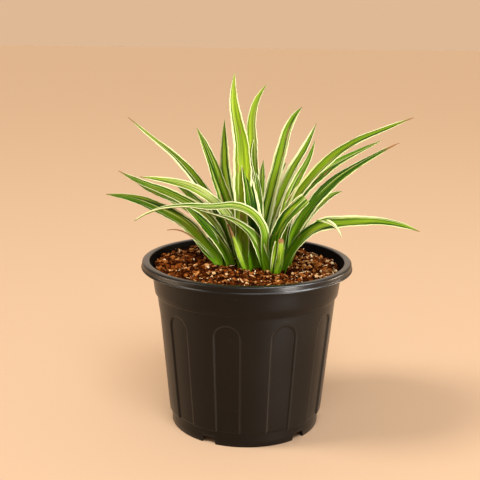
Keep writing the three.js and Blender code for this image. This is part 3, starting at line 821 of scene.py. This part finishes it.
def make_soil(material):
    rng = np.random.default_rng(SOIL_SEED)
    sectors = SOIL_SECTORS
    angles = np.arange(sectors) * 2 * math.pi / sectors
    points, faces = [(0.0, 0.0, float(soil_height(0.0, 0.0)))], []
    for i in range(1, SOIL_RINGS + 1):
        r = SOIL_RADIUS * i / SOIL_RINGS
        x, y = r * np.cos(angles), r * np.sin(angles)
        z = soil_height(x, y) + rng.normal(0, SOIL_GRAIN, sectors)
        points.extend(np.stack([x, y, z], 1).tolist())
    for r, z in SOIL_SIDE:
        points.extend(np.stack([r * np.cos(angles), r * np.sin(angles),
                                np.full(sectors, z)], 1).tolist())
    bottom = len(points)
    points.append((0.0, 0.0, SOIL_BOTTOM))
    last = bottom - sectors
    for s in range(sectors):
        n = (s + 1) % sectors
        faces.append((0, 1 + s, 1 + n))
        for a in range(1, last, sectors):
            b = a + sectors
            faces.append((a + s, b + s, b + n, a + n))
        faces.append((last + s, bottom, last + n))
    return new_piece("soil_bed", points, faces, material, "soil")


def icosahedron():
    """Corners at distance 1, and the 20 faces turned outwards."""
    t = (1 + 5 ** 0.5) / 2
    corners = []
    for a in (-1, 1):
        for b in (-t, t):
            corners += [(0, a, b), (a, b, 0), (b, 0, a)]
    corners = np.array(corners, float) / math.hypot(1, t)
    edge_limit = 1.2
    faces = []
    for i, j, k in combinations(range(len(corners)), 3):
        trio = corners[[i, j, k]]
        sides = [np.linalg.norm(trio[m] - trio[m - 1]) for m in range(3)]
        if max(sides) < edge_limit:
            outward = np.dot(np.cross(trio[1] - trio[0], trio[2] - trio[0]), trio[0])
            faces.append((i, j, k) if outward > 0 else (i, k, j))
    return corners, np.array(faces)


def crumb_place(rng, crowns):
    """Place on the bed, seldom close to the middle of a shoot."""
    while True:
        r = (SOIL_RADIUS + CRUMB_REACH) * math.sqrt(rng.random())
        a = 2 * math.pi * rng.random()
        x, y = r * math.cos(a), r * math.sin(a)
        near = np.hypot(crowns[:, 0] - x, crowns[:, 1] - y).min()
        if near > CROWN_CLEARANCE or rng.random() < CROWN_SHARE:
            return x, y


def painted_shade_share(value, least, gain, low, high):
    """Share of the tint left at a height as painted shade, the least of it in the lowest places."""
    return least + gain * float(smooth_step(low, high, value))


def make_crumbs(material):
    rng = np.random.default_rng(CRUMB_SEED)
    corners, shape_faces = icosahedron()
    corner_count = len(corners)
    crowns = np.array([shoot["crown"] for shoot in SHOOTS.values()], float)
    points, faces, tints = [], [], []
    for kind in CRUMB_KINDS:
        for _ in range(kind.count):
            x, y = crumb_place(rng, crowns)
            size = np.array([rng.uniform(*kind.length), rng.uniform(*kind.width),
                             rng.uniform(*kind.height)])
            if kind.shares:
                size[1:] *= size[0]
            lift, tint = rng.uniform(*kind.lift), rng.beta(*kind.tint)
            # Painted shade: low crumbs and crumbs in the hollows are darker.
            tint *= painted_shade_share(lift, *LIFT_PAINTED_SHADE)
            tint *= painted_shade_share(hollows(x, y), *HOLLOW_PAINTED_SHADE)
            # Painted light: the crumbs get paler to the right.
            tint *= 1 + RIGHT_SIDE_PAINTED_LIGHT * max(x, 0.0)
            if rng.random() < CREAM_CRUMBS:
                tint = rng.uniform(*CREAM_TINT)
            spin = Euler((*rng.uniform(-CRUMB_TILT, CRUMB_TILT, 2), rng.uniform(0, FULL_TURN)))
            jag = corners * rng.uniform(*CRUMB_JAG, (corner_count, 1)) * size
            lump = jag @ np.array(spin.to_matrix()).T
            # A crumb that would reach past the wall moves inwards.
            farthest = SOIL_RADIUS + CRUMB_OVERHANG
            if math.hypot(x, y) + size[0] > farthest:
                shrink = (farthest - size[0]) / math.hypot(x, y)
                x, y = x * shrink, y * shrink
            lump += (x, y, float(soil_height(x, y)) + lift)
            faces.append(shape_faces + corner_count * len(points))
            points.append(lump)
            tints.append(np.full(corner_count, tint))
    crumbs = new_piece("soil_crumbs", np.concatenate(points), np.concatenate(faces).tolist(),
                       material, "soil", smooth=False)
    add_marks(crumbs, "tint", np.concatenate(tints))
    return crumbs


# Leaves
def leaf_frame(leaf, s):
    """Directions of the blade at share s of its length: along it, out of its face, across it."""
    lean = math.radians(along(leaf.leans, s))
    direction = math.radians(leaf.heading + leaf.turn * s * s)
    outward = np.array([math.cos(direction), math.sin(direction), 0.0])
    tangent = outward * math.sin(lean) + np.array([0, 0, math.cos(lean)])
    face = -outward * math.cos(lean) + np.array([0, 0, math.sin(lean)])
    side = np.cross(tangent, face)
    roll = math.radians(leaf.roll_root + (leaf.roll_tip - leaf.roll_root) * s)
    return (tangent, face * math.cos(roll) + side * math.sin(roll),
            side * math.cos(roll) - face * math.sin(roll))


def leaf_stations(leaf, crown, torn_at):
    """Places along the blade as (middle, width, share of the length, directions)."""
    if torn_at is None:
        point = np.array([leaf.x, leaf.y, SOIL_LEVEL])
        sunk = point + (BLADE_SINK_INWARD * (crown[0] - leaf.x),
                        BLADE_SINK_INWARD * (crown[1] - leaf.y), -BLADE_SINK)
        stations = [(sunk, leaf.width * BLADE_SINK_WIDTH, 0.0, leaf_frame(leaf, 0))]
    else:
        point = np.array([leaf.x, leaf.y, torn_at], float)
        stations = []
    count = max(FEWEST_STATIONS, int(leaf.length / BLADE_STEP))
    step_count = count * STEPS_PER_STATION
    for i in range(count + 1):
        s = i / count
        narrowing = 1 - POINT_NARROWING * leaf.drawn * float(smooth_step(*NARROWING_PLACE, s))
        width = leaf.width * along(WIDTH_PROFILE, s * leaf.kept) * narrowing
        stations.append((point, width, s, leaf_frame(leaf, s)))
        for j in range(STEPS_PER_STATION):
            between = s + (j + 0.5) / step_count
            point = point + leaf_frame(leaf, between)[0] * leaf.length / step_count
    return stations


def edge_wave(run, rates, phases):
    """Share of the half width at one edge of the blade, which swings in and out."""
    slow, fast = (size * np.sin(run * rate + phase)
                  for size, rate, phase in zip(EDGE_WAVES, rates, phases))
    return 1 + slow + fast


def blade_faces(n, m):
    """Closed skin over n rows of m points on the upper face and as many on the lower."""
    half = n * m
    faces = []
    for i in range(n - 1):
        for j in range(m - 1):
            a, b = i * m + j, (i + 1) * m + j
            faces.append((a, a + 1, b + 1, b))
            faces.append((half + a, half + b, half + b + 1, half + a + 1))
        a, b = i * m, (i + 1) * m
        faces.append((a, b, half + b, half + a))
        faces.append((a + m - 1, half + a + m - 1, half + b + m - 1, b + m - 1))
    for j in range(m - 1):
        faces.append((j, half + j, half + j + 1, j + 1))
        a = (n - 1) * m + j
        faces.append((a, a + 1, half + a + 1, half + a))
    return faces


def leaf_mesh(leaf, crown, rng, torn_at):
    """Points and faces of a blade, and for each point its place across and along the blade."""
    stations = leaf_stations(leaf, crown, torn_at)
    u = np.linspace(-1, 1, BLADE_ACROSS + 1)
    # Nine phases are drawn, and seven are used.
    twist, flap, _, *edges, bend, _ = rng.uniform(0, FULL_TURN, 9)
    (twist_size, twist_rate), (flap_size, flap_rate), (sway_size, sway_rate) = BLADE_WAVES
    top, bottom, across, up = [], [], [], []
    for place, width, s, (_, face, side) in stations:
        run = s * leaf.length
        settled = min(1.0, WAVE_GROWTH * s)
        channel = BLADE_CHANNEL * width * (np.abs(u) ** BLADE_BOW - 1)
        ripple = twist_size * width * np.sin(run * twist_rate + twist) * u
        ripple += flap_size * width * np.abs(u) ** 2 * np.sin(run * flap_rate + flap + u)
        rise = channel + ripple * settled
        thick = BLADE_THICKNESS + (BLADE_EDGE_THICKNESS - BLADE_THICKNESS) * np.abs(u)
        left = edge_wave(run, LEFT_EDGE_RATES, edges[:2])
        right = edge_wave(run, RIGHT_EDGE_RATES, edges[2:])
        sway = sway_size * settled * np.sin(run * sway_rate + bend)
        spread = np.where(u < 0, u * left, u * right) * width / 2 + sway
        line = place + np.outer(spread, side)
        top.append(line + np.outer(rise, face))
        bottom.append(line + np.outer(rise - thick, face))
        across.append((u + 1) / 2)
        up.append(np.full(len(u), s))
    coords = np.stack([np.concatenate(across * 2), np.concatenate(up * 2)], 1)
    return np.concatenate(top + bottom), blade_faces(len(stations), len(u)), coords


def make_shoot(name, shoot, material):
    rng = np.random.default_rng(sum(map(ord, name)))
    points, faces, coords, kinds, seeds = [], [], [], [], []
    count = 0
    blades = [(None, row) for row in shoot["leaves"]] + shoot.get("slivers", [])
    for torn_at, row in blades:
        leaf = Leaf(*row)
        leaf_points, leaf_faces, leaf_coords = leaf_mesh(leaf, shoot["crown"], rng, torn_at)
        faces += [tuple(count + i for i in face) for face in leaf_faces]
        count += len(leaf_points)
        points.append(leaf_points)
        coords.append(leaf_coords)
        kinds.append(np.tile((leaf.margin, leaf.dried, leaf.pale), (len(leaf_points), 1)))
        seeds.append(np.full(len(leaf_points), rng.uniform(0, SEED_SPREAD)))
    piece = new_piece(name.replace("shoot", "leaves"), np.concatenate(points), faces, material,
                      name)
    corner = np.empty(len(piece.data.loops), int)
    piece.data.loops.foreach_get("vertex_index", corner)
    blade = piece.data.uv_layers.new(name="blade")
    blade.data.foreach_set("uv", np.concatenate(coords)[corner].astype(np.float32).ravel())
    add_marks(piece, "kind", np.concatenate(kinds), "FLOAT_VECTOR", "vector")
    add_marks(piece, "seed", np.concatenate(seeds))
    return piece


# Stage
def collect(name, pieces):
    collection = bpy.data.collections.new(name)
    for piece in pieces:
        collection.objects.link(piece)
    return collection


def make_floor():
    bpy.ops.mesh.primitive_plane_add(size=FLOOR_SIZE, location=(0, 0, 0))
    floor = bpy.context.object
    floor.name = "floor"
    material = Shader("floor").surface(FLOOR_COLOUR, FLOOR_ROUGHNESS, FLOOR_SPECULAR)
    floor.data.materials.append(material)


def make_world():
    world = bpy.data.worlds.new("studio")
    bpy.context.scene.world = world
    world.use_nodes = True
    tree = world.node_tree
    direction = tree.nodes.new("ShaderNodeTexCoord")
    split = tree.nodes.new("ShaderNodeSeparateXYZ")
    sky = tree.nodes.new("ShaderNodeValToRGB")
    tree.links.new(direction.outputs["Generated"], split.inputs[0])
    tree.links.new(split.outputs[2], sky.inputs[0])
    tree.links.new(sky.outputs[0], tree.nodes["Background"].inputs[0])
    set_stops(sky, SKY_COLOURS)
    bpy.context.scene.view_settings.view_transform = "Standard"


def make_sun():
    sun = bpy.data.lights.new("key", "SUN")
    sun.energy, sun.angle, sun.color = SUN_STRENGTH, math.radians(SUN_ANGLE), SUN_COLOUR
    key = bpy.data.objects.new("key", sun)
    key.rotation_euler = Vector(SUN_FROM).to_track_quat("Z", "Y").to_euler()
    bpy.context.scene.collection.objects.link(key)


def make_lamps(receivers):
    for name, place, aim_height, size, power, colour, lit in LAMPS:
        data = bpy.data.lights.new(name, "AREA")
        data.shape, (data.size, data.size_y) = "RECTANGLE", size
        data.energy, data.color = power, colour
        light = bpy.data.objects.new(name, data)
        light.location = place
        aim = Vector((0, 0, aim_height)) - Vector(place)
        light.rotation_euler = aim.to_track_quat("-Z", "Y").to_euler()
        bpy.context.scene.collection.objects.link(light)
        light.visible_camera = False
        light.light_linking.receiver_collection = receivers[lit]


def make_camera():
    data = bpy.data.cameras.new("camera")
    data.lens, data.sensor_width = CAMERA_LENS, CAMERA_SENSOR
    camera = bpy.data.objects.new("camera", data)
    bpy.context.scene.collection.objects.link(camera)
    camera.location = Vector(CAMERA_PLACE_MM) * MM
    tilt = Euler((math.radians(90 - CAMERA_PITCH), 0, 0)).to_matrix()
    roll = Euler((0, 0, math.radians(CAMERA_ROLL))).to_matrix()
    camera.rotation_euler = (tilt @ roll).to_euler()
    bpy.context.scene.camera = camera


make_camera()
pot_piece = make_pot(pot_material())
blade_material = leaf_material()
soil_pieces = [make_soil(soil_material()), make_crumbs(crumb_material())]
leaf_pieces = [make_shoot(name, shoot, blade_material) for name, shoot in SHOOTS.items()]
make_floor()
make_world()
make_sun()
make_lamps({
    "all": None,
    "pot": collect("pot_only", [pot_piece]),
    "plant": collect("plant_only", soil_pieces + leaf_pieces),
})
